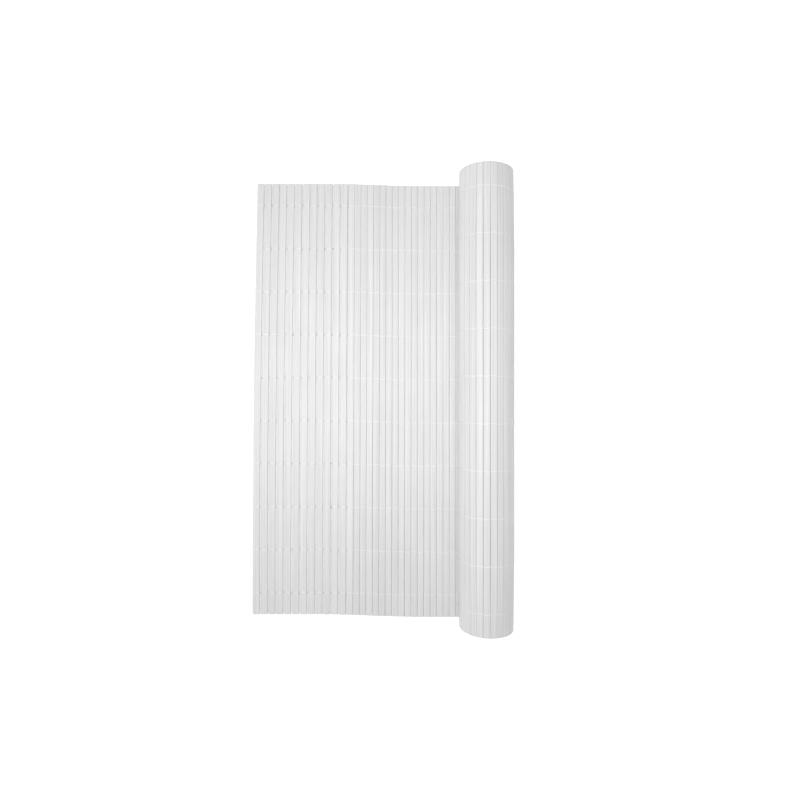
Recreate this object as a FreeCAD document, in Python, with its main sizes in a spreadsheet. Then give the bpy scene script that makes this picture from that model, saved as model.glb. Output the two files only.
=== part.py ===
import FreeCAD, Part
import math
import os
import Sketcher

# A partly unrolled privacy screen of hollow plastic slats laced side by side with clear cord.
# The slats run along Y. The flat part lies on the floor to the left (-X), and the rest is wound into a
# roll at the right. The sheet passes under the roll and climbs its right side, so the underside of the
# flat part becomes the outside of the roll. Z is up, the floor is at z = 0, and the origin is the middle
# of the screen's outline on the floor. Sizes are in millimetres and degrees.

VALUES = [
    # alias, value, meaning
    ("slat_length", 1500.0, "length of every slat along Y"),
    ("slat_width", 21.3, "width of a slat across its two edges"),
    ("slat_thick", 4.6, "thickness at the middle of a slat"),
    ("face_crown", 0.18, "how far the middle of each face stands above its shoulders"),
    ("edge_slope", 0.8, "width of the sloped shoulder at each edge"),
    ("edge_land", 2.6, "height of the upright part of each edge"),
    ("wall", 0.34, "wall thickness of the hollow section"),
    ("flat_count", 33.0, "slats in the flat part"),
    ("loose_count", 12.0, "slats at the free end that have slid apart"),
    ("tight_gap", 0.9, "gap between slats that are pushed together"),
    ("loose_gap", 5.65, "gap between slats at the free end"),
    ("loose_scatter", 1.1, "how far a gap at the free end may be wider or narrower than that"),
    ("loose_turn", 0.035, "how far a slat at the free end may be turned out of line, in degrees"),
    ("fan_angle", 0.72, "turn of the free end in the plane of the floor, in degrees"),
    ("slide_rise", 8.7, "how far the free part has slid along its slats"),
    ("slide_from", 9.0, "seam, counted from the roll, where that slide begins"),
    ("slide_to", 25.0, "seam where it has ended"),
    ("roll_radius", 93.9, "radius of the middle of the sheet where the roll begins"),
    ("roll_turns", 4.67, "turns that the sheet makes in the roll"),
    ("roll_slide", 8.0, "slide of the sheet along the roll during its first turn, fastest at its start"),
    ("turn_play", 0.2, "play between one turn's cords and the next"),
    ("cord_thick", 0.8, "thickness of a cord"),
    ("cord_rows", 10.0, "rows of cord along the slats"),
    ("cord_margin", 75.0, "distance from the end of a slat to its nearest row"),
    ("cord_play", 0.03, "clearance between a cord and the faces beside it"),
]

V = FreeCAD.Vector
UP = V(0, 0, 1)
ALONG = V(0, 1, 0)


def make_sheet(doc):
    """Write every named value once into a spreadsheet, with its alias."""
    sheet = doc.addObject("Spreadsheet::Sheet", "sizes")
    for row, (alias, value, meaning) in enumerate(VALUES, start=1):
        sheet.set("A%d" % row, alias)
        sheet.set("B%d" % row, repr(value))
        sheet.set("C%d" % row, meaning)
        sheet.setAlias("B%d" % row, alias)
    doc.recompute()
    return sheet


def origin_plane(body, role):
    """Return the body's own origin plane that has this role."""
    for feature in body.Origin.OriginFeatures:
        if feature.Role == role:
            return feature
    raise ValueError("no plane " + role)


def draw_outline(sheet, sketch, corners):
    """Draw a closed outline of straight lines through corners that are held by expressions.

    Each corner is two (sign, expression) pairs. A sign of 0 puts the corner on that axis.
    """
    first = sketch.GeometryCount
    count = len(corners)
    spots = []
    for sides in corners:
        x, y = [sign * float(sheet.evalExpression(rule)) if sign else 0.0 for sign, rule in sides]
        spots.append(V(x, y, 0))
    for k, spot in enumerate(spots):
        sketch.addGeometry(Part.LineSegment(spot, spots[(k + 1) % count]), False)
    for k in range(count):
        sketch.addConstraint(Sketcher.Constraint("Coincident", first + k, 2, first + (k + 1) % count, 1))
    for k, sides in enumerate(corners):
        for kind, (sign, rule), value in zip(("DistanceX", "DistanceY"), sides, spots[k]):
            if sign == 0:
                axis = -2 if kind == "DistanceX" else -1
                sketch.addConstraint(Sketcher.Constraint("PointOnObject", first + k, 1, axis))
                continue
            ends = (-1, 1, first + k, 1) if sign > 0 else (first + k, 1, -1, 1)
            index = sketch.addConstraint(Sketcher.Constraint(kind, *ends, abs(value)))
            sketch.setExpression("Constraints[%d]" % index, rule)


def outer_corners():
    """Corners of a slat's outside: two faces with a faint ridge, sloped shoulders and upright edges."""
    edge = "sizes.slat_width / 2"
    shoulder = "sizes.slat_width / 2 - sizes.edge_slope"
    land = "sizes.edge_land / 2"
    face = "sizes.slat_thick / 2 - sizes.face_crown"
    ridge = "sizes.slat_thick / 2"
    corners = []
    for side in (1, -1):
        corners.append(((side, edge), (-side, land)))
        corners.append(((side, edge), (side, land)))
        corners.append(((side, shoulder), (side, face)))
        corners.append(((0, ""), (side, ridge)))
        corners.append(((-side, shoulder), (side, face)))
    return corners


def hollow_corners():
    """Corners of the hollow: six, one wall's thickness inside the outside."""
    tip = "sizes.slat_width / 2 - sizes.wall"
    shoulder = "sizes.slat_width / 2 - sizes.edge_slope - sizes.wall"
    face = "sizes.slat_thick / 2 - sizes.face_crown - sizes.wall"
    corners = []
    for side in (1, -1):
        corners.append(((side, tip), (0, "")))
        corners.append(((side, shoulder), (side, face)))
        corners.append(((-side, shoulder), (side, face)))
    return corners


def make_slat(doc, sheet):
    """Extrude one hollow slat along Y, centred on the origin. Every other slat is a copy of it."""
    body = doc.addObject("PartDesign::Body", "slat")
    sketch = body.newObject("Sketcher::SketchObject", "slat_section")
    sketch.AttachmentSupport = [(origin_plane(body, "XZ_Plane"), "")]
    sketch.MapMode = "FlatFace"
    draw_outline(sheet, sketch, outer_corners())
    draw_outline(sheet, sketch, hollow_corners())
    pad = body.newObject("PartDesign::Pad", "slat_pad")
    pad.Profile = sketch
    pad.SideType = "Symmetric"
    pad.setExpression("Length", "sizes.slat_length")
    doc.recompute()
    return body


def smooth(share):
    """Ease from 0 to 1 as share goes from 0 to 1, and stay there."""
    share = min(max(share, 0.0), 1.0)
    return share * share * (3 - 2 * share)


def slat_height(sheet):
    """Height of the middle of the flat part above the floor, with a cord under it."""
    return sheet.cord_thick + sheet.cord_play + sheet.slat_thick / 2


def uneven(k, step):
    """An even-handed value between -1 and 1 for the slat with number k, the same every time."""
    return math.sin(k * k * step)


def flat_hinges(sheet):
    """Middles of the seams of the flat part, from the roll outwards to the free edge.

    Returns (point, turn in the floor plane) pairs. The sheet fans a little towards the free end, where
    the seams have opened unevenly, and the slats between two seams have slid along each other.
    """
    count = int(sheet.flat_count)
    loose = int(sheet.loose_count)
    place = V(0, 0, slat_height(sheet))
    hinges = [(V(place), 0.0)]
    for k in range(count):
        gap = sheet.tight_gap
        turn = sheet.fan_angle * ((k + 0.5) / count) ** 2
        if k >= count - loose:
            gap = sheet.loose_gap + sheet.loose_scatter * uneven(k, 1.7)
            turn += sheet.loose_turn * uneven(k, 2.3)
        turn = math.radians(turn)
        place.x -= (sheet.slat_width + gap) * math.cos(turn)
        place.y = sheet.slide_rise * smooth((k + 1 - sheet.slide_from) / (sheet.slide_to - sheet.slide_from))
        hinges.append((V(place), turn))
    return hinges


def turn_step(sheet):
    """Distance from one turn of the roll to the next: a slat, two cords and the rise of its chord."""
    pitch = sheet.slat_width + sheet.tight_gap
    chord_rise = pitch ** 2 / (8 * sheet.roll_radius)
    return sheet.slat_thick + 2 * sheet.cord_thick + chord_rise + sheet.turn_play


def spiral_point(sheet, angle):
    """Point of the roll's spiral at an angle from its foot, which closes in by one step each turn."""
    radius = sheet.roll_radius - turn_step(sheet) * angle / (2 * math.pi)
    axis_height = slat_height(sheet) + sheet.roll_radius
    slide = sheet.roll_slide * math.sin(min(angle, 2 * math.pi) / 4)
    return V(radius * math.sin(angle), slide, axis_height - radius * math.cos(angle))


def next_seam(sheet, angle):
    """Angle of the seam that lies one slat's pitch further along the spiral, by a straight chord."""
    pitch = sheet.slat_width + sheet.tight_gap
    start = spiral_point(sheet, angle)
    low = angle
    high = angle + math.pi / 2
    while high - low > 1e-10:
        middle = (low + high) / 2
        reach = spiral_point(sheet, middle) - start
        if math.hypot(reach.x, reach.z) < pitch:
            low = middle
        else:
            high = middle
    return low


def roll_angles(sheet):
    """Angles of the roll's seams, from its foot to the end of its last turn."""
    angles = [0.0]
    while angles[-1] < sheet.roll_turns * 2 * math.pi:
        angles.append(next_seam(sheet, angles[-1]))
    return angles


def flat_placements(sheet):
    """Placements of the flat slats, the one at the free end first."""
    hinges = flat_hinges(sheet)
    places = []
    for (near, unused), (far, turn) in zip(hinges, hinges[1:]):
        places.append(FreeCAD.Placement((near + far) / 2, FreeCAD.Rotation(UP, -math.degrees(turn))))
    return places[::-1]


def roll_placements(sheet):
    """Placements of the rolled slats with the number of the turn that each lies in, outermost first."""
    angles = roll_angles(sheet)
    places = []
    for start, end in zip(angles, angles[1:]):
        near = spiral_point(sheet, start)
        far = spiral_point(sheet, end)
        tilt = math.degrees(math.atan2(far.z - near.z, far.x - near.x))
        turn = int(start / (2 * math.pi)) + 1
        places.append((FreeCAD.Placement((near + far) / 2, FreeCAD.Rotation(ALONG, -tilt)), turn))
    return places


def copy_slat(doc, slat, place, label):
    """Put a linked copy of the slat at a placement."""
    copy = doc.addObject("App::Link", label)
    copy.LinkedObject = slat
    copy.Label = label
    copy.Placement = place
    return copy


def row_offsets(sheet):
    """Distances of the cord rows from the middle of a slat, the lowest first."""
    rows = int(sheet.cord_rows)
    reach = sheet.slat_length / 2 - sheet.cord_margin
    return [-reach + 2 * reach * k / (rows - 1) for k in range(rows)]


def make_cord(doc, sheet, label, points):
    """Sweep a six-sided cord, flat above and below, along straight runs through the points."""
    spine = doc.addObject("Part::Polygon", label + "_path")
    spine.Nodes = points
    spine.Close = False
    section = doc.addObject("Part::RegularPolygon", label + "_section")
    section.Polygon = 6
    section.setExpression("Circumradius", "sizes.cord_thick / sqrt(3)")
    forward = (points[1] - points[0]).normalize()
    side = (ALONG - forward * ALONG.dot(forward)).normalize()
    section.Placement = FreeCAD.Placement(points[0], FreeCAD.Rotation(side, forward.cross(side), forward, "ZXY"))
    cord = doc.addObject("Part::Sweep", label)
    cord.Sections = [section]
    cord.Spine = (spine, [])
    cord.Solid = True
    cord.Frenet = False
    cord.Transition = "Right corner"
    cord.Label = label
    return cord


def cord_reach(sheet):
    """Distance from the middle of the sheet to the middle of a cord on its face."""
    return sheet.slat_thick / 2 + sheet.cord_play + sheet.cord_thick / 2


def edge_bend(sheet):
    """Corners of a cord's path round the left edge of a slat, parallel to its sloped shoulders."""
    clear = sheet.cord_play + sheet.cord_thick / 2
    rise = sheet.slat_thick / 2 - sheet.face_crown - sheet.edge_land / 2
    half_bend = math.atan2(sheet.edge_slope, rise) / 2
    low = sheet.edge_land / 2 + clear * math.tan(half_bend)
    side = sheet.slat_width / 2 + clear
    top = side - (cord_reach(sheet) - low) * sheet.edge_slope / rise
    return [(-top, -cord_reach(sheet)), (-side, -low), (-side, low), (-top, cord_reach(sheet))]


def flat_cord_points(sheet, places, offset):
    """Path of one row's cord in the flat part: out under the slats, round the free edge and back."""
    reach = cord_reach(sheet)
    stops = list(range(len(places) - 1, 0, -8))
    under = [places[k].multVec(V(0, offset, -reach)) for k in stops]
    turned = [places[0].multVec(V(x, offset, z)) for x, z in edge_bend(sheet)]
    over = [places[k].multVec(V(0, offset, reach)) for k in stops[::-1]]
    return under + turned + over


def roll_cord_points(sheet, flat, roll, offset):
    """Path of one row's cord outside the first turn of the roll, from where the flat cord ends."""
    reach = cord_reach(sheet)
    half_pitch = (sheet.slat_width + sheet.tight_gap) / 2
    points = [flat[-1].multVec(V(sheet.cord_play, offset, -reach))]
    before = FreeCAD.Rotation()
    for place in roll:
        outward = before.multVec(-UP) + place.Rotation.multVec(-UP)
        outward.normalize()
        half_turn = outward.getAngle(place.Rotation.multVec(-UP))
        seam = place.multVec(V(-half_pitch, offset, 0))
        points.append(seam + outward * (reach / math.cos(half_turn)))
        before = place.Rotation
    return points


def check(doc, parts):
    """Stop unless every object is sound and every sub-part has a valid shape."""
    for item in doc.Objects:
        if "Invalid" in item.State or "Error" in item.State:
            raise RuntimeError("%s failed: %s" % (item.Label, item.State))
    for part in parts:
        if part.Shape.isNull() or not part.Shape.isValid():
            raise RuntimeError("%s has no valid shape" % part.Label)


def centre(doc, movable):
    """Slide everything level so that the origin is the middle of the outline on the floor."""
    box = FreeCAD.BoundBox()
    for item in movable:
        box.add(item.Shape.BoundBox)
    shift = V(-box.Center.x, -box.Center.y, 0)
    for item in movable:
        if item.TypeId == "Part::Polygon":
            item.Nodes = [node + shift for node in item.Nodes]
        else:
            item.Placement = FreeCAD.Placement(item.Placement.Base + shift, item.Placement.Rotation)
    doc.recompute()


def main():
    doc = FreeCAD.newDocument("balcony_screen")
    sheet = make_sheet(doc)
    slat = make_slat(doc, sheet)
    flat = flat_placements(sheet)
    roll = roll_placements(sheet)
    parts = []
    links = []
    for k, place in enumerate(flat, start=1):
        links.append(copy_slat(doc, slat, place, "flat_slat_%02d" % k))
    parts.extend(links)
    for turn in range(1, roll[-1][1] + 1):
        places = [place for place, number in roll if number == turn]
        members = [copy_slat(doc, slat, p, "turn_%d_slat_%02d" % (turn, k)) for k, p in enumerate(places, 1)]
        group = doc.addObject("Part::Compound", "roll_turn_%d" % turn)
        group.Links = members
        group.Label = "roll_turn_%d" % turn
        links.extend(members)
        parts.append(group)
    first_turn = [place for place, number in roll if number == 1]
    for k, offset in enumerate(row_offsets(sheet), start=1):
        paths = {
            "flat_cord_%02d" % k: flat_cord_points(sheet, flat, offset),
            "roll_cord_%02d" % k: roll_cord_points(sheet, flat, first_turn[:-2], offset),
        }
        for label, points in paths.items():
            cord = make_cord(doc, sheet, label, points)
            links.extend([cord.Spine[0], cord.Sections[0]])
            parts.append(cord)
    doc.recompute()
    centre(doc, links)
    check(doc, parts)
    os.makedirs("parts", exist_ok=True)
    for part in parts:
        part.Shape.exportStep("parts/%s.step" % part.Label)


main()
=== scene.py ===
import logging
import math
import random
from collections.abc import Callable, Iterable, Sequence
from dataclasses import dataclass, replace
from enum import Enum

import bpy
import numpy as np
from mathutils import Matrix, Vector


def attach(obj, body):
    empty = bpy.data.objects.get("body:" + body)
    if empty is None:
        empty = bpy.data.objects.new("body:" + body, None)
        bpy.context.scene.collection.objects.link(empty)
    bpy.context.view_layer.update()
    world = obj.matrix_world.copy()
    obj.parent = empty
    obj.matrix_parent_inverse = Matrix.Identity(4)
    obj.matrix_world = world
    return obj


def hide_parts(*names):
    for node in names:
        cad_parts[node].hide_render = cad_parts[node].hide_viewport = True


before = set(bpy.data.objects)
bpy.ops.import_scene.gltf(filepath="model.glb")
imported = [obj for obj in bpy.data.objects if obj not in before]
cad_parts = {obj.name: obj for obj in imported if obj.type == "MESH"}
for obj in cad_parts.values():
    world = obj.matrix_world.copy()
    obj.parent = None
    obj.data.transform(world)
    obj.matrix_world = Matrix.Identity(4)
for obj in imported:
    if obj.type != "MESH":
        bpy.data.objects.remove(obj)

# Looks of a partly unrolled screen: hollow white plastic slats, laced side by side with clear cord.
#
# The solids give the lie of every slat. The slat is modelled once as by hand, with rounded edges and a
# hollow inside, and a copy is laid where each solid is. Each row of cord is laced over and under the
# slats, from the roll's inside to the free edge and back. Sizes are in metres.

log = logging.getLogger("screen")
MM = 0.001
SLAT_LENGTH = 1.5
MERGE_DIGITS = 6  # corners that agree to this many digits are one
WHITE = (1.0, 1.0, 1.0, 1.0)
Colour = tuple[float, float, float]
Stops = tuple[tuple[float, float], ...]


class Slot(Enum):
    """Material slots of the record."""

    SLAT = "slat"
    CORD = "cord"


class Face(Enum):
    """The two faces of the sheet: up in the flat part is inwards in the roll."""

    UPPER = 1
    LOWER = -1


class Part(Enum):
    """What is selected in edit mode."""

    VERTEX = "VERT"
    EDGE = "EDGE"
    FACE = "FACE"


# Shader building


class Socket:
    """A node's output that can stand in a Python expression."""

    def __init__(self, graph: "Graph", output: bpy.types.NodeSocket) -> None:
        """Wrap one output.

        Args:
            graph: The graph that the output belongs to.
            output: The node's output socket.
        """
        self.graph = graph
        self.output = output

    def _join(self, operation: str, *values: "Socket | float") -> "Socket":
        """Add a Math node.

        Args:
            operation: The node's operation.
            values: Its inputs in order.

        Returns:
            The node's result.
        """
        inputs = dict(enumerate(values))
        return self.graph.node("ShaderNodeMath", {"operation": operation}, inputs)

    def __add__(self, other: "Socket | float") -> "Socket":
        """Sum of two values."""
        return self._join("ADD", self, other)

    __radd__ = __add__

    def __sub__(self, other: "Socket | float") -> "Socket":
        """Difference of two values."""
        return self._join("SUBTRACT", self, other)

    def __rsub__(self, other: float) -> "Socket":
        """Number minus this value."""
        return self._join("SUBTRACT", other, self)

    def __mul__(self, other: "Socket | float") -> "Socket":
        """Product of two values."""
        return self._join("MULTIPLY", self, other)

    __rmul__ = __mul__

    def __pow__(self, other: "Socket | float") -> "Socket":
        """This value to a power."""
        return self._join("POWER", self, other)

    def clamped(self) -> "Socket":
        """This value kept between 0 and 1."""
        settings = {"operation": "ADD", "use_clamp": True}
        return self.graph.node("ShaderNodeMath", settings, {0: self, 1: 0.0})


@dataclass(frozen=True)
class Grain:
    """How fine a noise is: its scale, and how many finer layers lie over it."""

    scale: float
    detail: float


class Graph:
    """The node tree of one material or of the world."""

    def __init__(self, owner: bpy.types.Material | bpy.types.World) -> None:
        """Start an empty tree.

        Args:
            owner: The material or world that it shades.
        """
        owner.use_nodes = True
        self.owner = owner
        self.tree = owner.node_tree
        self.tree.nodes.clear()

    def add(self, kind: str, settings: dict, inputs: dict) -> bpy.types.Node:
        """Add one node.

        Args:
            kind: The node's type.
            settings: Its own properties, or a ramp's stops, set before its sockets.
            inputs: Values or sockets by input name or number.

        Returns:
            The node.
        """
        made = self.tree.nodes.new(kind)
        for key, value in settings.items():
            if key == "stops":
                self.set_stops(made.color_ramp, value)
            else:
                setattr(made, key, value)
        for key, value in inputs.items():
            if isinstance(value, Socket):
                self.tree.links.new(value.output, made.inputs[key])
            else:
                made.inputs[key].default_value = value
        return made

    def node(self, kind: str, settings: dict, inputs: dict, output: int | str = 0) -> Socket:
        """Add one node and take one of its outputs.

        Args:
            kind: The node's type.
            settings: Its own properties, or a ramp's stops, set before its sockets.
            inputs: Values or sockets by input name or number.
            output: The output to return, by name or number.

        Returns:
            That output.
        """
        return Socket(self, self.add(kind, settings, inputs).outputs[output])

    @staticmethod
    def set_stops(bar: bpy.types.ColorRamp, stops: Stops) -> None:
        """Give a ramp its grey stops.

        Args:
            bar: The ramp.
            stops: Position and brightness of each stop.
        """
        while len(bar.elements) < len(stops):
            bar.elements.new(0.5)
        for element, (position, level) in zip(bar.elements, stops):
            element.position = position
            element.color = (level, level, level, 1.0)

    def ramp(self, factor: Socket, stops: Stops) -> Socket:
        """Map a value through grey stops, each a position and a brightness."""
        return self.node("ShaderNodeValToRGB", {"stops": stops}, {"Fac": factor}, "Color")

    def noise(self, place: Socket, grain: Grain) -> Socket:
        """Soft noise between 0 and 1 over a place."""
        inputs = {"Vector": place, "Scale": grain.scale, "Detail": grain.detail}
        return self.node("ShaderNodeTexNoise", {}, inputs)

    def blend(self, factor: Socket, first: "Socket | Colour", second: "Socket | Colour") -> Socket:
        """Mix two colours.

        Args:
            factor: Share of the second colour.
            first: Colour at 0.
            second: Colour at 1.

        Returns:
            The mixed colour.
        """
        inputs: dict = {"Factor": factor}
        for key, colour in ((6, first), (7, second)):
            inputs[key] = colour if isinstance(colour, Socket) else (*colour, 1.0)
        return self.node("ShaderNodeMix", {"data_type": "RGBA"}, inputs, 2)

    def seen_plainly(self) -> Socket:
        """Tell the rays that show the surroundings from those that light the object.

        Returns:
            1 for camera, glossy and transmission rays, 0 for the others.
        """
        kinds = ("Is Camera Ray", "Is Glossy Ray", "Is Transmission Ray")
        camera, glossy, transmission = [self.node("ShaderNodeLightPath", {}, {}, kind) for kind in kinds]
        return (camera + glossy + transmission).clamped()

    def finish(self, shader: Socket) -> bpy.types.Material | bpy.types.World:
        """Join a shader to the output.

        Args:
            shader: The shader to show.

        Returns:
            The finished material or world.
        """
        kind = "World" if isinstance(self.owner, bpy.types.World) else "Material"
        self.add("ShaderNodeOutput" + kind, {}, {"Surface": shader})
        return self.owner


@dataclass(frozen=True)
class PlasticFinish:
    """Extruded rigid plastic, white, satin, with faint lines along the slats and a little dust.

    Each slat carries two values: "tone", how grey the whole slat is, and "rim", how near a place is to
    its long edges. The rim drives painted shade along the seams, with a lighter painted highlight band
    just inside it. A weight is how much its pattern greys the plastic.
    """

    light: Colour = (0.843, 0.843, 0.843)
    shade: Colour = (0.715, 0.715, 0.715)
    dust: Colour = (0.69, 0.685, 0.675)
    stretch: float = 0.008
    line_grain: Grain = Grain(700.0, 3.0)
    band_grain: Grain = Grain(190.0, 1.0)
    cloud_grain: Grain = Grain(7.0, 4.0)
    speck_grain: Grain = Grain(420.0, 2.0)
    tone_weight: float = 0.3
    band_weight: float = 1.8
    line_weight: float = 0.5
    cloud_weight: float = 0.4
    # how strongly the painted seam shade, and the painted highlight beside it, grey the plastic
    seam_shade_weight: float = 0.7
    paleness: float = 1.2
    # rim places of the lighter painted highlight band and of the darker painted seam shade at the long
    # edges
    seam_shade_stops: Stops = ((0.80, 0.4), (0.88, 0.0), (0.935, 0.4), (0.97, 1.0))
    speck_stops: Stops = ((0.66, 0.0), (0.78, 1.0))
    dust_stops: Stops = ((0.5, 0.0), (0.7, 0.22))
    roughness: float = 0.4
    line_roughness: float = 0.12
    cloud_roughness: float = 0.1
    bump: float = 0.12
    bump_height: float = 0.2 * MM
    speck_height: float = 0.3
    index: float = 1.53

    def build(self) -> bpy.types.Material:
        """Make the material.

        Returns:
            The material for every slat.
        """
        graph = Graph(bpy.data.materials.new("slat_plastic"))
        place = graph.node("ShaderNodeTexCoord", {}, {}, "Object")
        along = graph.node("ShaderNodeMapping", {}, {"Vector": place, "Scale": (1.0, self.stretch, 1.0)})
        lines = graph.noise(along, self.line_grain)
        bands = graph.noise(along, self.band_grain)
        cloud = graph.noise(place, self.cloud_grain)
        specks = graph.noise(place, self.speck_grain)
        tone = graph.node("ShaderNodeAttribute", {"attribute_name": "tone"}, {}, "Fac")
        rim = graph.node("ShaderNodeAttribute", {"attribute_name": "rim"}, {}, "Fac")
        # painted seam shade at each slat's long edges, with a lighter painted highlight band just inside
        # it
        edges = graph.ramp(rim, self.seam_shade_stops)
        grey = tone * self.tone_weight + bands * self.band_weight + lines * self.line_weight
        grey = (grey + cloud * self.cloud_weight + edges * self.seam_shade_weight - self.paleness).clamped()
        grime = graph.ramp(specks, self.speck_stops) * graph.ramp(cloud, self.dust_stops)
        colour = graph.blend(grime, graph.blend(grey, self.light, self.shade), self.dust)
        rough = lines * self.line_roughness + cloud * self.cloud_roughness + self.roughness
        relief = {"Height": lines + specks * self.speck_height}
        relief |= {"Strength": self.bump, "Distance": self.bump_height}
        normal = graph.node("ShaderNodeBump", {}, relief)
        finish = {"Base Color": colour, "Roughness": rough, "Normal": normal, "IOR": self.index}
        return graph.finish(graph.node("ShaderNodeBsdfPrincipled", {}, finish))


@dataclass(frozen=True)
class CordFinish:
    """Drawn nylon cord, milky and glossy, brighter than the slats."""

    core: Colour = (0.92, 0.92, 0.92)
    skin: Colour = (0.965, 0.965, 0.965)
    wave_grain: Grain = Grain(260.0, 2.0)
    wave_stops: Stops = ((0.4, 0.0), (0.6, 1.0))
    roughness: float = 0.1
    wave_roughness: float = 0.12
    bump: float = 0.1
    bump_height: float = 0.1 * MM
    index: float = 1.53
    coat: float = 0.3
    coat_index: float = 1.5
    coat_roughness: float = 0.12

    def build(self) -> bpy.types.Material:
        """Make the material.

        Returns:
            The material for every cord.
        """
        graph = Graph(bpy.data.materials.new("nylon_cord"))
        place = graph.node("ShaderNodeTexCoord", {}, {}, "Object")
        waves = graph.noise(place, self.wave_grain)
        colour = graph.blend(graph.ramp(waves, self.wave_stops), self.core, self.skin)
        relief = {"Height": waves, "Strength": self.bump, "Distance": self.bump_height}
        normal = graph.node("ShaderNodeBump", {}, relief)
        rough = waves * self.wave_roughness + self.roughness
        finish = {"Base Color": colour, "Roughness": rough, "Normal": normal, "IOR": self.index}
        finish |= {"Coat Weight": self.coat, "Coat IOR": self.coat_index}
        finish |= {"Coat Roughness": self.coat_roughness}
        return graph.finish(graph.node("ShaderNodeBsdfPrincipled", {}, finish))


@dataclass(frozen=True)
class FloorFinish:
    """Plain white floor. Where it lies open it is seen white, and it holds the object's shadow.

    In the gaps between the slats and along the object's edge an ambient-occlusion mask takes the white
    glow away, which adds painted shade to the real shadow.
    """

    albedo: Colour = (0.88, 0.88, 0.88)
    lift: float = 0.75
    # reach, power and samples of the painted shade that ambient occlusion puts on the floor
    shade_reach: float = 10 * MM
    shade_power: float = 8.0
    shade_samples: int = 8

    def build(self) -> bpy.types.Material:
        """Make the material.

        Returns:
            The floor's material.
        """
        graph = Graph(bpy.data.materials.new("studio_floor"))
        matte = graph.node("ShaderNodeBsdfDiffuse", {}, {"Color": (*self.albedo, 1.0)})
        glow = graph.node("ShaderNodeEmission", {}, {"Color": WHITE, "Strength": self.lift})
        lit = graph.node("ShaderNodeAddShader", {}, {0: matte, 1: glow})
        reach = {"Distance": self.shade_reach}
        sampling = {"samples": self.shade_samples}
        # painted shade: ambient occlusion takes the white glow away in the gaps between slats and along
        # the object's edge
        openness = graph.node("ShaderNodeAmbientOcclusion", sampling, reach, "AO")
        share = graph.seen_plainly() * openness**self.shade_power
        return graph.finish(graph.node("ShaderNodeMixShader", {}, {0: share, 1: matte, 2: lit}))


# Reading the lie of the slats


@dataclass(frozen=True)
class Lie:
    """Where one slat lies: its middle and its three own directions.

    It bows sideways along its whole length, half of the bow to each side of the straight line. Its last
    sixths may lean out of its upper face, from a share of its half length on.
    """

    node: str
    centre: Vector
    along: Vector
    across: Vector
    upper: Vector
    bow: float = 0.0
    lean: float = 0.0
    half_length: float = SLAT_LENGTH / 2
    lean_start: float = 2 / 3

    def point(self, x: float, y: float, z: float) -> Vector:
        """Find the place of a point of the slat.

        Args:
            x: Its distance across the slat from the middle.
            y: Its distance along it.
            z: Its distance out of the upper face.

        Returns:
            The place in the scene.
        """
        share = abs(y) / self.half_length
        x += self.bow * (share**2 - 0.5)
        z += self.lean * max(0.0, (share - self.lean_start) / (1 - self.lean_start))
        return self.centre + self.across * x + self.along * y + self.upper * z

    def turned_round(self) -> "Lie":
        """The same lie with the direction across reversed."""
        return replace(self, across=-self.across, upper=-self.upper)

    def settled(self, tilt: float, bow: float, lean: float) -> "Lie":
        """The same lie, tilted about its own length, bowed and leaning."""
        turn = Matrix.Rotation(tilt, 3, self.along)
        return replace(self, across=turn @ self.across, upper=turn @ self.upper, bow=bow, lean=lean)


def marker_of(owner: list[int], corner: int) -> int:
    """Find the corner that marks another corner's group.

    Args:
        owner: For each corner another one of its group, or itself for the marker.
        corner: The corner's number.

    Returns:
        The marker's number.
    """
    while owner[corner] != corner:
        owner[corner] = owner[owner[corner]]
        corner = owner[corner]
    return corner


def solids_of(obj: bpy.types.Object) -> list[np.ndarray]:
    """Split a node's loose triangles into its solids.

    Args:
        obj: The node's object.

    Returns:
        The corners of each solid.
    """
    mesh = obj.data
    corners = np.empty(len(mesh.vertices) * 3)
    mesh.vertices.foreach_get("co", corners)
    rounded = np.round(corners.reshape(-1, 3), MERGE_DIGITS)
    merged, index = np.unique(rounded, axis=0, return_inverse=True)
    index = index.reshape(-1)
    owner = list(range(len(merged)))
    for polygon in mesh.polygons:
        first, *rest = [marker_of(owner, int(index[v])) for v in polygon.vertices]
        for other in rest:
            owner[marker_of(owner, other)] = marker_of(owner, first)
    groups: dict[int, list[int]] = {}
    for k in range(len(merged)):
        groups.setdefault(marker_of(owner, k), []).append(k)
    return [merged[members] for members in groups.values()]


def read_lie(node: str, corners: np.ndarray) -> Lie:
    """Work out a slat's middle and directions from its corners.

    Args:
        node: Name of the solid's node.
        corners: Its corners.

    Returns:
        Its lie, with the direction across still of either sign.
    """
    centre = (corners.max(axis=0) + corners.min(axis=0)) / 2
    middle = corners.mean(axis=0)
    axes = np.linalg.svd(corners - middle, full_matrices=False)[2]
    along, across = Vector(axes[0]), Vector(axes[1])
    if along.y < 0:
        along = -along
    return Lie(node, Vector(centre), along, across, across.cross(along))


def walk_the_sheet(lies: list[Lie]) -> list[Lie]:
    """Put the slats in the order that the cord meets them, from the free end into the roll.

    The next slat is the one nearest to where the sheet leads, bent as much as at the last seam.

    Args:
        lies: The slats in any order.

    Returns:
        The slats in order, each with its direction across leading on.
    """
    left = sorted(lies, key=lambda lie: lie.centre.x)
    here = left.pop(0)
    if here.across.x < 0:
        here = here.turned_round()
    order = [here]
    bend = Matrix.Identity(3)
    step = (left[0].centre - here.centre).length
    while left:
        aim = here.centre + (bend @ here.across + here.across).normalized() * step
        found = min(left, key=lambda lie: (lie.centre - aim).length)
        left.remove(found)
        if found.across.dot(here.across) < 0:
            found = found.turned_round()
        step = (found.centre - here.centre).length
        bend = here.across.rotation_difference(found.across).to_matrix()
        order.append(found)
        here = found
    return order


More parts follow.
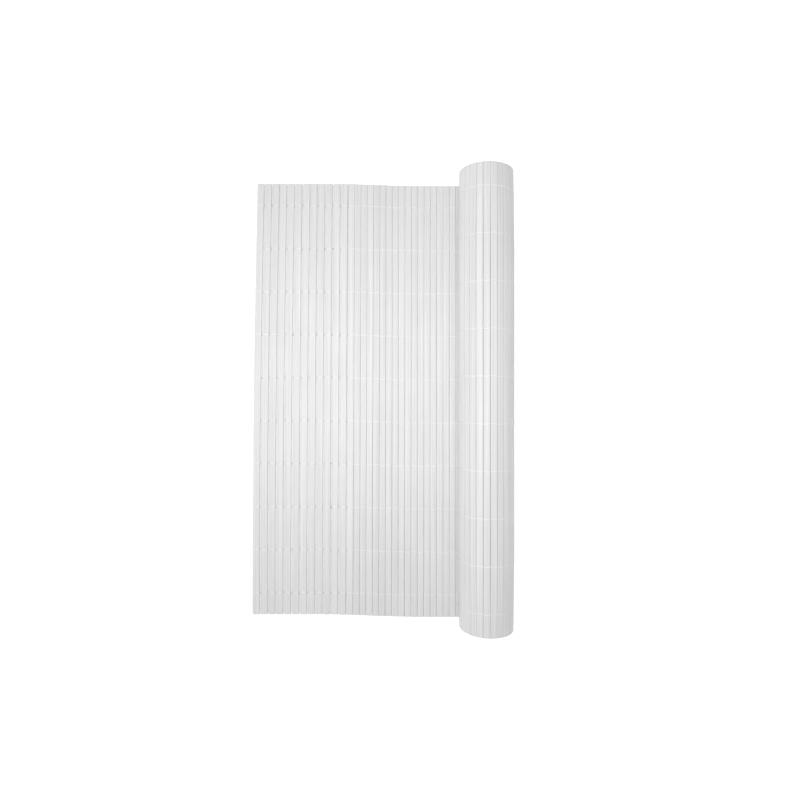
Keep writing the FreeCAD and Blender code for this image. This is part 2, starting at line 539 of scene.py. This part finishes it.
def gather_lies(nodes: dict[str, bpy.types.Object]) -> list[Lie]:
    """Read every slat's lie from the solids.

    Args:
        nodes: The frame's nodes by name.

    Returns:
        The lies in the order that the cord meets them.
    """
    lies = []
    for name, obj in nodes.items():
        if "cord" not in name:
            lies.extend(read_lie(name, corners) for corners in solids_of(obj))
    return walk_the_sheet(lies)


@dataclass(frozen=True)
class Wear:
    """How unevenly the slats lie. Tilts are in degrees.

    The slats at the free end bow most, with their ends towards the roll, and the roll is drawn in at
    its ends.
    """

    free_bow: float = 5.0 * MM
    free_count: int = 12
    flat_bow: float = 0.25 * MM
    roll_bow: float = 0.05 * MM
    roll_lean: float = 3.0 * MM
    flat_tilt: float = 0.6
    roll_tilt: float = 0.25
    seed: int = 7

    def settle(self, lies: list[Lie]) -> list[Lie]:
        """Tilt and bow every slat a little.

        Args:
            lies: The slats, the one at the free end first.

        Returns:
            The settled slats in the same order.
        """
        chance = random.Random(self.seed)
        settled = []
        for number, lie in enumerate(lies):
            rolled = lie.node.startswith("roll")
            bow = chance.uniform(-1, 1) * (self.roll_bow if rolled else self.flat_bow)
            tilt = chance.uniform(-1, 1) * (self.roll_tilt if rolled else self.flat_tilt)
            bow += self.free_bow * max(0.0, 1 - number / self.free_count)
            settled.append(lie.settled(math.radians(tilt), bow, self.roll_lean if rolled else 0.0))
        return settled


# Modelling helpers


def only(obj: bpy.types.Object) -> None:
    """Select and activate one object alone.

    Args:
        obj: The object.
    """
    bpy.ops.object.select_all(action="DESELECT")
    obj.select_set(True)
    bpy.context.view_layer.objects.active = obj


def pick(obj: bpy.types.Object, part: Part, test: Callable[..., bool]) -> None:
    """Select parts of a mesh in edit mode by a test of each one.

    Args:
        obj: The mesh object, in edit mode.
        part: What is selected.
        test: Called with a vertex, an edge's two vertices, or a face; true selects it.
    """
    bpy.ops.mesh.select_mode(type=part.value)
    bpy.ops.mesh.select_all(action="DESELECT")
    bpy.ops.object.mode_set(mode="OBJECT")
    mesh = obj.data
    if part is Part.VERTEX:
        chosen = [v for v in mesh.vertices if test(v)]
    elif part is Part.EDGE:
        chosen = [e for e in mesh.edges if test(*[mesh.vertices[v] for v in e.vertices])]
    else:
        chosen = [p for p in mesh.polygons if test(p)]
    for item in chosen:
        item.select = True
    bpy.ops.object.mode_set(mode="EDIT")


def weld_objects(objects: Sequence[bpy.types.Object]) -> None:
    """Join objects into the first of them.

    Args:
        objects: One object or more.
    """
    only(objects[0])
    for obj in objects:
        obj.select_set(True)
    if len(objects) > 1:
        bpy.ops.object.join()


def dress(obj: bpy.types.Object, material: bpy.types.Material, nodes: Iterable[str]) -> None:
    """Give a finished piece its material, its body and the nodes that it stands for.

    Args:
        obj: The finished piece.
        material: Its material.
        nodes: The solids that it replaces.
    """
    obj.data.materials.clear()
    obj.data.materials.append(material)
    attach(obj, "root")
    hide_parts(*nodes)


# Pieces


@dataclass
class Slat:
    """The one slat that every other is a copy of."""

    length: float = SLAT_LENGTH
    width: float = 21.6 * MM
    thick: float = 4.6 * MM
    crown: float = 0.18 * MM
    side_share: float = 0.72
    edge: float = 0.85 * MM
    edge_steps: int = 3
    wall: float = 0.34 * MM
    lengths: int = 6
    sharpest: float = 35.0

    def model(self) -> bpy.types.Object:
        """Model the slat at the origin, along Y.

        Returns:
            The slat.
        """
        bpy.ops.object.select_all(action="DESELECT")
        bpy.ops.mesh.primitive_cube_add(size=1.0, location=(0.0, 0.0, 0.0))
        slat = bpy.context.object
        slat.name = "slat_master"
        bpy.ops.object.mode_set(mode="EDIT")
        bpy.ops.mesh.select_all(action="SELECT")
        bpy.ops.transform.resize(value=(self.width, self.length, self.thick - 2 * self.crown))
        self.crown_faces(slat)
        self.round_edges(slat)
        self.hollow_out(slat)
        self.divide_length()
        bpy.ops.mesh.select_all(action="SELECT")
        bpy.ops.mesh.normals_make_consistent(inside=False)
        bpy.ops.object.mode_set(mode="OBJECT")
        bpy.ops.object.shade_smooth_by_angle(angle=math.radians(self.sharpest))
        return slat

    def crown_faces(self, slat: bpy.types.Object) -> None:
        """Cut each broad face into strips and raise them towards the middle.

        Args:
            slat: The slat, in edit mode.
        """
        quarter = self.width / 4
        for place in (-quarter, 0.0, quarter):
            bpy.ops.mesh.select_all(action="SELECT")
            bpy.ops.mesh.bisect(plane_co=(place, 0.0, 0.0), plane_no=(1.0, 0.0, 0.0))
        for place, share in ((0.0, 1.0), (quarter, self.side_share), (-quarter, self.side_share)):
            for face in Face:
                pick(slat, Part.VERTEX, lambda v: abs(v.co.x - place) < MM and v.co.z * face.value > 0)
                bpy.ops.transform.translate(value=(0.0, 0.0, face.value * share * self.crown))

    def round_edges(self, slat: bpy.types.Object) -> None:
        """Round the four long edges.

        Args:
            slat: The slat, in edit mode.
        """
        limit = self.width / 2 - MM
        pick(
            slat,
            Part.EDGE,
            lambda a, b: abs(a.co.y - b.co.y) > MM and min(abs(a.co.x), abs(b.co.x)) > limit,
        )
        bpy.ops.mesh.bevel(offset=self.edge, segments=self.edge_steps, profile=0.5)

    def hollow_out(self, slat: bpy.types.Object) -> None:
        """Inset both cut ends by the wall and join them through the slat.

        Args:
            slat: The slat, in edit mode.
        """
        pick(slat, Part.FACE, lambda p: abs(p.normal.y) > max(abs(p.normal.x), abs(p.normal.z)))
        bpy.ops.mesh.inset(thickness=self.wall)
        bpy.ops.mesh.delete(type="FACE")
        bpy.ops.mesh.select_mode(type="EDGE")
        bpy.ops.mesh.select_all(action="DESELECT")
        bpy.ops.mesh.select_non_manifold()
        bpy.ops.mesh.bridge_edge_loops()

    def divide_length(self) -> None:
        """Cut the slat into lengths, so that a copy can bow."""
        for cut in range(1, self.lengths):
            place = self.length * (cut / self.lengths - 0.5)
            bpy.ops.mesh.select_all(action="SELECT")
            bpy.ops.mesh.bisect(plane_co=(0.0, place, 0.0), plane_no=(0.0, 1.0, 0.0))


@dataclass
class Screen:
    """All the slats, flat and rolled, laid where the solids are.

    A rolled slat is a little narrower, and its band of painted seam shade along the long edges is a
    little wider.
    """

    slat: Slat
    lies: list[Lie]
    material: bpy.types.Material
    rolled_width: float = 21.3 * MM
    # stretches the rim values of a rolled slat, which widens its painted seam shade
    rolled_seam_shade_spread: float = 1.02
    seed: int = 11

    def lay(self, master: bpy.types.Object, lie: Lie, name: str, tone: float) -> bpy.types.Object:
        """Lay one copy of the slat.

        Args:
            master: The slat to copy.
            lie: Where the copy goes.
            name: Its name.
            tone: How grey it is, from 0 to 1.

        Returns:
            The copy, with its place in its mesh.
        """
        mesh = master.data.copy()
        mesh.name = name
        rolled = lie.node.startswith("roll")
        # rolled slats get a wider band of painted seam shade
        spread = (self.rolled_seam_shade_spread if rolled else 1.0) / (self.slat.width / 2)
        narrower = self.rolled_width / self.slat.width if rolled else 1.0
        rims = [abs(corner.co.x) * spread for corner in mesh.vertices]
        for corner in mesh.vertices:
            x, y, z = corner.co
            corner.co = lie.point(x * narrower, y, z)
        for key, values in (("rim", rims), ("tone", [tone] * len(rims))):
            mesh.attributes.new(key, "FLOAT", "POINT").data.foreach_set("value", values)
        copy = bpy.data.objects.new(name, mesh)
        bpy.context.collection.objects.link(copy)
        return copy

    def build(self) -> list[bpy.types.Object]:
        """Lay every slat, join those of each turn, and dress them.

        Returns:
            One piece for each node.
        """
        chance = random.Random(self.seed)
        master = self.slat.model()
        by_node: dict[str, list[bpy.types.Object]] = {}
        for number, lie in enumerate(self.lies, start=1):
            copy = self.lay(master, lie, "slat_%03d" % number, chance.random())
            by_node.setdefault(lie.node, []).append(copy)
        for node, copies in by_node.items():
            weld_objects(copies)
            if len(copies) > 1:
                copies[0].name = node.replace("roll_turn", "rolled_slats")
            dress(copies[0], self.material, [node])
        bpy.data.objects.remove(master)
        return [copies[0] for copies in by_node.values()]


@dataclass
class Lacing:
    """The rows of cord. In each row the cord runs round the whole sheet.

    Its two strands take turns over and under the slats and pass side by side in every seam. A knot is
    given by its row and by the number of its slat from the free end, from 0.
    """

    slat: Slat
    lies: list[Lie]
    material: bpy.types.Material
    thick: float = 0.45 * MM
    flatness: float = 5.0
    margin: float = 75 * MM
    rows: int = 10
    strand_gap: float = 1.15 * MM
    play: float = 0.03 * MM
    knots: tuple[tuple[int, int], ...] = ((1, 6), (7, 1), (7, 2), (8, 1), (8, 2))
    knot_length: float = 10 * MM
    knot_width: float = 3 * MM
    knot_place: float = 2 * MM
    knot_size: float = 2.2
    knot_lift: float = 1.2
    knot_wave: float = 0.35
    knot_steps: int = 30
    tube_steps: int = 1

    def row_places(self) -> list[float]:
        """Places of the rows along a slat."""
        end = self.slat.length / 2 - self.margin
        return [-end + 2 * end * k / (self.rows - 1) for k in range(self.rows)]

    def crossing(self) -> list[tuple[float, float]]:
        """Places across and out of the face where a strand bends round a slat that it crosses.

        Returns:
            Four places at each edge, from left to right: three round the rounded edge, with the middle
            one at 45 degrees, and one beside the slat's middle, where the strands run from slat to slat.
        """
        clear = self.thick / 2 + self.play
        side = self.slat.width / 2 + clear
        shoulder = self.slat.width / 2 - self.slat.edge
        knee = (self.slat.edge + clear) * math.sqrt(0.5)
        low = self.slat.thick / 2 - self.slat.edge
        reach = self.slat.thick / 2 + clear
        right = [(shoulder, reach), (shoulder + knee, low + knee), (side, low), (side, 0.0)]
        return [(-x, z) for x, z in right[::-1]] + right

    def strand(self, row: float, first: Face) -> list[Vector]:
        """Path of one strand from the free end to the inner end of the roll.

        Args:
            row: Place of its row along the slats.
            first: The face of the first slat that it crosses.

        Returns:
            The points that it follows.
        """
        y = row + first.value * self.strand_gap
        side = first.value
        points: list[Vector] = []
        for lie in self.lies:
            points.extend(lie.point(x, y, side * z) for x, z in self.crossing())
            side = -side
        return points

    def knot(self, lie: Lie, row: float) -> bpy.types.Object:
        """Make a small flat knot, a trefoil, on a slat's upper face.

        Args:
            lie: The slat that it lies on.
            row: Its place along the slat.

        Returns:
            The knot as a mesh.
        """
        points = []
        for step in range(self.knot_steps):
            t = step * math.tau / self.knot_steps
            x = (math.sin(t) + 2 * math.sin(2 * t)) / 6 * self.knot_length
            y = (math.cos(t) - 2 * math.cos(2 * t)) / 6 * self.knot_width
            z = self.slat.thick / 2 + (self.knot_lift - math.sin(3 * t) * self.knot_wave) * self.thick
            points.append(lie.point(self.knot_place + x, row + y, z))
        return self.tube("knot", points, self.knot_size)

    def tube(self, name: str, points: Sequence[Vector], size: float) -> bpy.types.Object:
        """Make a closed cord along a path, flattened so that it is wide along the slats.

        Args:
            name: Its name.
            points: The points that it follows.
            size: Its thickness as a share of the cord's.

        Returns:
            The cord as a mesh.
        """
        curve = bpy.data.curves.new(name, "CURVE")
        curve.dimensions = "3D"
        spline = curve.splines.new("POLY")
        spline.points.add(len(points) - 1)
        for spot, place in zip(spline.points, points):
            spot.co = (place.x, place.y / self.flatness, place.z, 1.0)
        spline.use_cyclic_u = True
        curve.bevel_depth = size * self.thick / 2
        curve.bevel_resolution = self.tube_steps
        cord = bpy.data.objects.new(name, curve)
        bpy.context.collection.objects.link(cord)
        only(cord)
        bpy.ops.object.convert(target="MESH")
        cord.data.transform(Matrix.Scale(self.flatness, 4, (0.0, 1.0, 0.0)))
        bpy.ops.object.shade_smooth()
        return cord

    def build(self) -> list[bpy.types.Object]:
        """Lace every row, tie it and dress it.

        Returns:
            One piece for each row.
        """
        cords = []
        for number, row in enumerate(self.row_places(), start=1):
            points = self.strand(row, Face.UPPER)[::-1] + self.strand(row, Face.LOWER)
            cord = self.tube("lacing_%02d" % number, points, 1.0)
            tied = [self.lies[slat] for knot_row, slat in self.knots if knot_row == number]
            weld_objects([cord, *[self.knot(lie, row) for lie in tied]])
            dress(cord, self.material, ["flat_cord_%02d" % number, "roll_cord_%02d" % number])
            cords.append(cord)
        return cords


@dataclass
class Studio:
    """Floor, lights and the camera that looks straight down."""

    floor_size: float = 40.0
    eye: tuple[float, float, float] = (0.0688, 0.0008, 1.813)
    lens: float = 23.34
    film: float = 36.0
    lamp_at: tuple[float, float, float] = (-0.24, 0.13, 1.95)
    lamp_size: float = 1.4
    lamp_power: float = 26.3
    sky: float = 0.30
    horizon: float = 1.0
    horizon_fade: float = 2.0

    def build(self) -> None:
        """Set up the floor, the world, the lamp and the camera."""
        self.lay_floor()
        self.light_world()
        self.hang_lamp()
        self.place_camera()
        bpy.context.scene.view_settings.view_transform = "Standard"

    def lay_floor(self) -> None:
        """Lay the floor that the screen lies on."""
        bpy.ops.object.select_all(action="DESELECT")
        bpy.ops.mesh.primitive_plane_add(size=self.floor_size, location=(0.0, 0.0, 0.0))
        floor = bpy.context.object
        floor.name = "floor"
        floor.data.materials.append(FloorFinish().build())

    def light_world(self) -> None:
        """Fill the world with soft light, brightest low down, that is seen as plain white."""
        graph = Graph(bpy.data.worlds.new("studio"))
        place = graph.node("ShaderNodeTexCoord", {}, {}, "Generated")
        height = graph.node("ShaderNodeSeparateXYZ", {}, {"Vector": place}, "Z").clamped()
        above, around, white = [
            graph.node("ShaderNodeBackground", {}, {"Color": WHITE, "Strength": level})
            for level in (self.sky, self.horizon, 1.0)
        ]
        low_down = (1.0 - height) ** self.horizon_fade
        light = graph.node("ShaderNodeMixShader", {}, {0: low_down, 1: above, 2: around})
        both = graph.node("ShaderNodeMixShader", {}, {0: graph.seen_plainly(), 1: light, 2: white})
        bpy.context.scene.world = graph.finish(both)

    def hang_lamp(self) -> None:
        """Hang a round softbox over the screen."""
        lamp = bpy.data.lights.new("softbox", "AREA")
        lamp.shape = "DISK"
        lamp.size = self.lamp_size
        lamp.energy = self.lamp_power
        softbox = bpy.data.objects.new("softbox", lamp)
        softbox.location = self.lamp_at
        bpy.context.collection.objects.link(softbox)

    def place_camera(self) -> None:
        """Place the camera above the screen."""
        camera_data = bpy.data.cameras.new("camera")
        camera_data.lens = self.lens
        camera_data.sensor_width = self.film
        camera = bpy.data.objects.new("camera", camera_data)
        camera.location = self.eye
        bpy.context.collection.objects.link(camera)
        bpy.context.scene.camera = camera


def main() -> None:
    """Build the screen, its lacing and the studio, and report each piece."""
    logging.basicConfig(level=logging.INFO, format="%(name)s: %(message)s")
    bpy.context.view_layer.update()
    slat = Slat()
    lies = Wear().settle(gather_lies(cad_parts))
    pieces = Screen(slat, lies, PlasticFinish().build()).build()
    pieces += Lacing(slat, lies, CordFinish().build()).build()
    for piece in pieces:
        log.info("%s: %d faces", piece.name, len(piece.data.polygons))
    Studio().build()
    log.info("studio: floor, world, softbox and camera")


if __name__ == "__main__":
    main()
